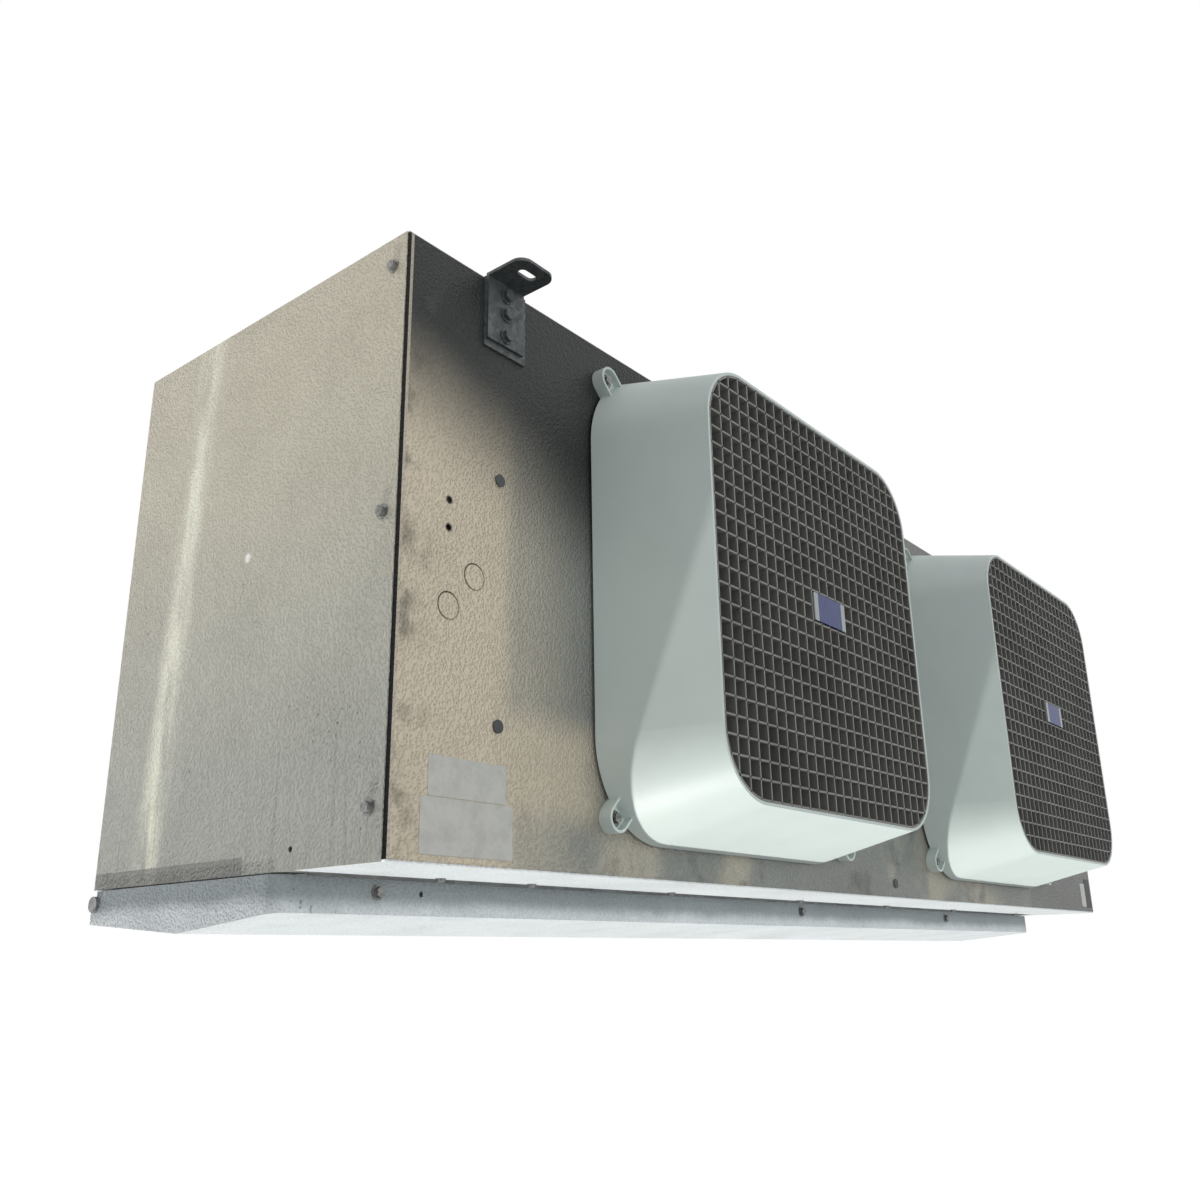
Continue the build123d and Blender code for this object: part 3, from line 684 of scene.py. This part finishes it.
def joined(name, finish, *meshes):
    """One mesh out of several, all in one finish."""
    whole = bmesh.new()
    for mesh in meshes:
        whole.from_mesh(mesh)
    for face in whole.faces:
        face.material_index = 0
    made = bpy.data.meshes.new(name)
    whole.to_mesh(made)
    whole.free()
    made.materials.append(finish)
    return made


# --------------------------------------------------------------- properties

class CoolerGrilleSettings(bpy.types.PropertyGroup):
    cells: bpy.props.IntProperty(name="Cells", description="Cells along a side", default=24)
    rim: bpy.props.FloatProperty(name="Rim", description="Thickness of the rim",
                                 default=2.0 * MM, subtype="DISTANCE", unit="LENGTH")
    corner: bpy.props.FloatProperty(name="Corner", description="Radius of the grille's corners",
                                    default=60.7 * MM, subtype="DISTANCE", unit="LENGTH")
    vane: bpy.props.FloatProperty(name="Vane", description="Thickness of a vane",
                                  default=1.9 * MM, subtype="DISTANCE", unit="LENGTH")


class CoolerCoilSettings(bpy.types.PropertyGroup):
    fin_pitch: bpy.props.FloatProperty(name="Fin pitch", description="From fin to fin",
                                       default=4.2 * MM, subtype="DISTANCE", unit="LENGTH")
    fin_thick: bpy.props.FloatProperty(name="Fin", description="Thickness of a fin",
                                       default=0.35 * MM, subtype="DISTANCE", unit="LENGTH")


class CoolerStageSettings(bpy.types.PropertyGroup):
    sun: bpy.props.FloatProperty(name="Key", description="Strength of the low key light",
                                 default=2.8)
    sky: bpy.props.FloatProperty(name="Sky", description="Strength of the even light", default=0.21)


FINISHES = {}


def dress(node, finish):
    """Gives a node of the frame its finish."""
    slots = NODES[node].data.materials
    if len(slots) == 0:
        slots.append(finish)
    for i in range(len(slots)):
        slots[i] = finish


# ---------------------------------------------------------------- operators

class COOLER_OT_finishes(bpy.types.Operator):
    """Makes the finishes and puts them on the frame's nodes"""
    bl_idname = "cooler.finishes"
    bl_label = "Finishes"

    def execute(self, context):
        FINISHES.update(make_finishes())
        for subpart in frame["record"]["subparts"]:
            dress(subpart["node"], FINISHES[subpart["material_slot"]])
        dress("front_panel", FINISHES["front"])
        for side in SIDES:
            dress(f"end_panel_{side}", FINISHES["end"])
        dress("drain_pan", FINISHES["pan"])
        dress("hanger_bolts", FINISHES["zinc_plate"])
        return {"FINISHED"}


class COOLER_OT_grilles(bpy.types.Operator):
    """Replaces each grille's two layers with one crossed egg-crate"""
    bl_idname = "cooler.grilles"
    bl_label = "Grilles"

    def execute(self, context):
        settings = context.scene.cooler_grille
        finish = FINISHES["grille_plastic"]
        for side in SIDES:
            low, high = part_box(f"guard_grille_{side}")
            middle = (low + high) / 2
            width = high.x - low.x
            crate = crate_mesh(side, settings, finish)
            loops = []
            rim_section = ((0, low.y), (0, high.y), (settings.rim, high.y), (settings.rim, low.y))
            for inset, y in rim_section:
                outline = rounded_outline(width - 2 * inset, width - 2 * inset,
                                          max(settings.corner - inset, 1.0 * MM))
                loops.append([(middle.x + u, y, middle.z + v) for u, v in outline])
            rim = ring_mesh(f"rim_{side}", loops)
            made = piece(f"egg_crate_{side}", joined(f"egg_crate_{side}", finish, crate, rim),
                         "cabinet")
            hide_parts(f"guard_grille_{side}")
        return {"FINISHED"}


class COOLER_OT_labels(bpy.types.Operator):
    """Lays bare labels on the front panel"""
    bl_idname = "cooler.labels"
    bl_label = "Labels"

    def execute(self, context):
        left, top = CABINET_LOW.x, CABINET_HIGH.z
        for name, x0, x1, z0, z1, finish in LABELS:
            cx, cz = left + (x0 + x1) / 2 * MM, top - (z0 + z1) / 2 * MM
            loops = []
            for y, inset in LABEL_LAYERS:
                w, h = (x1 - x0) * MM - 2 * inset, (z1 - z0) * MM - 2 * inset
                loops.append([(cx + u, FRONT_Y + y, cz + v)
                              for u, v in rounded_outline(w, h, LABEL_CORNER, steps=4)])
            mesh = ring_mesh(f"label_{name}", loops, closed=False)
            piece(f"label_{name}", mesh, "cabinet", FINISHES[finish])
        return {"FINISHED"}


class COOLER_OT_coil(bpy.types.Operator):
    """Replaces the grooved block with thin fins"""
    bl_idname = "cooler.coil"
    bl_label = "Coil fins"

    def execute(self, context):
        settings = context.scene.cooler_coil
        low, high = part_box("coil_fins")
        count = int((high.x - low.x) / settings.fin_pitch)
        shape = Shape("Coil fins", {
            "Fins": count, "Pitch": (high.x - low.x) / count, "Thickness": settings.fin_thick,
            "Low": low, "Depth": high.y - low.y, "Height": high.z - low.z,
            "Finish": FINISHES["fin_aluminium"]})
        pitch, thick, depth, height = shape.take("Pitch", "Thickness", "Depth", "Height")
        fins = shape.node("GeometryNodeInstanceOnPoints", {
            "Points": shape.row(shape.take("Fins"), shape.vector(X=pitch)),
            "Instance": shape.block(shape.vector(X=thick, Y=depth, Z=height))})["Instances"]
        # Blocks are built about their middle, so the first one moves in by half its size.
        half = shape.vector(X=pitch * 0.5, Y=depth * 0.5, Z=height * 0.5)
        shift = shape.node("ShaderNodeVectorMath", (shape.take("Low"), half),
                           operation="ADD")["Vector"]
        made = piece("fin_pack", shape.mesh(shape.moved(fins, shift)), "cabinet")
        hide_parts("coil_fins")
        return {"FINISHED"}


class COOLER_OT_stage(bpy.types.Operator):
    """Makes the floor, the lamps, the world and the camera"""
    bl_idname = "cooler.stage"
    bl_label = "Stage"

    def execute(self, context):
        scene = context.scene
        settings = scene.cooler_stage
        scene.view_settings.view_transform = "Standard"
        # The floor's glow is for the camera alone, and the floor casts no shadow.
        floor_mesh = bpy.data.meshes.new("floor")
        r, z = FLOOR_REACH, CAD_BOX[0].z - FLOOR_DROP
        floor_mesh.from_pydata([(-r, -r, z), (r, -r, z), (r, r, z), (-r, r, z)], [],
                               [(0, 1, 2, 3)])
        floor = bpy.data.objects.new("floor", floor_mesh)
        scene.collection.objects.link(floor)
        floor.visible_shadow = False
        pale = Finish("pale_floor", Roughness=0.8)
        pale.set(Base_Color=pale.mix(pale.noise(2.0), (0.8, 0.8, 0.8), (0.84, 0.84, 0.84)),
                 Emission_Strength=0.75)
        to_camera = pale.node("ShaderNodeLightPath")["Is Camera Ray"]
        pale.set(Emission_Color=pale.mix(to_camera, (0.0, 0.0, 0.0), (1.0, 1.0, 1.0)))
        floor_mesh.materials.append(pale.material)

        # The world is white to the camera and in reflections, and dimmer as a light.
        world = bpy.data.worlds.new("pale_room")
        scene.world = world
        world.use_nodes = True
        world.node_tree.nodes.clear()
        room = Graph(world.node_tree)
        path = room.node("ShaderNodeLightPath")
        white_rays = path["Is Camera Ray"] + path["Is Glossy Ray"] + path["Is Transmission Ray"]
        white = room.node("ShaderNodeBackground", {"Color": (1.0, 1.0, 1.0)})["Background"]
        sky = room.node("ShaderNodeBackground",
                        {"Color": SKY_TINT, "Strength": settings.sky})["Background"]
        blend = room.node("ShaderNodeMixShader", (white_rays, sky, white))["Shader"]
        room.node("ShaderNodeOutputWorld", {"Surface": blend})

        # Suns: name, strength, direction the light travels in, colour, spread in degrees.
        suns = (("low_key", settings.sun, (0.25, -0.35, 0.93), (1.0, 0.99, 0.96), 2.5),
                ("front_fill", 1.0, (0.12, 0.95, 0.25), (0.97, 0.98, 1.0), 70),
                ("rear_fill", 0.9, (-0.15, -0.95, -0.1), (1.0, 1.0, 1.0), 70),
                ("top_fill", 0.6, (0.2, 0.3, -0.95), (1.0, 1.0, 1.0), 80))
        for name, energy, toward, colour, spread in suns:
            light = bpy.data.lights.new(name, "SUN")
            light.energy = energy
            light.color = colour
            light.angle = math.radians(spread)
            holder = bpy.data.objects.new(name, light)
            holder.rotation_mode = "QUATERNION"
            holder.rotation_quaternion = Vector(toward).to_track_quat("-Z", "Y")
            scene.collection.objects.link(holder)

        lens = bpy.data.cameras.new("camera")
        lens.lens = CAMERA_LENS
        lens.clip_start, lens.clip_end = 0.02, 200.0
        eye = bpy.data.objects.new("camera", lens)
        turn = Matrix((CAMERA_RIGHT, CAMERA_UP, CAMERA_BACK)).transposed()
        eye.rotation_mode = "QUATERNION"
        eye.rotation_quaternion = turn.to_quaternion()
        eye.location = (CABINET_LOW.x - CAMERA_LEFT, FRONT_Y - CAMERA_FRONT,
                        CABINET_HIGH.z - CAMERA_BELOW)
        scene.collection.objects.link(eye)
        scene.camera = eye
        return {"FINISHED"}


class COOLER_PT_panel(bpy.types.Panel):
    """Lists the cooler's operators"""
    bl_label = "Unit Cooler"
    bl_idname = "COOLER_PT_panel"
    bl_space_type = "VIEW_3D"
    bl_region_type = "UI"
    bl_category = "Cooler"

    def draw(self, context):
        for operator in STEPS:
            self.layout.operator(operator.bl_idname)
        for group in ("cooler_grille", "cooler_coil", "cooler_stage"):
            settings = getattr(context.scene, group)
            for name in settings.bl_rna.properties.keys():
                if name not in {"rna_type", "name"}:
                    self.layout.prop(settings, name)


STEPS = (COOLER_OT_finishes, COOLER_OT_grilles, COOLER_OT_labels, COOLER_OT_coil, COOLER_OT_stage)
GROUPS = {"cooler_grille": CoolerGrilleSettings, "cooler_coil": CoolerCoilSettings,
          "cooler_stage": CoolerStageSettings}


def register():
    for group in GROUPS.values():
        bpy.utils.register_class(group)
    for name, group in GROUPS.items():
        setattr(bpy.types.Scene, name, bpy.props.PointerProperty(type=group))
    for operator in STEPS:
        bpy.utils.register_class(operator)
    bpy.utils.register_class(COOLER_PT_panel)


def unregister():
    bpy.utils.unregister_class(COOLER_PT_panel)
    for operator in reversed(STEPS):
        bpy.utils.unregister_class(operator)
    for name, group in GROUPS.items():
        delattr(bpy.types.Scene, name)
        bpy.utils.unregister_class(group)


def main():
    register()
    for operator in STEPS:
        area, name = operator.bl_idname.split(".")
        getattr(getattr(bpy.ops, area), name)()


if __name__ == "__main__":
    main()
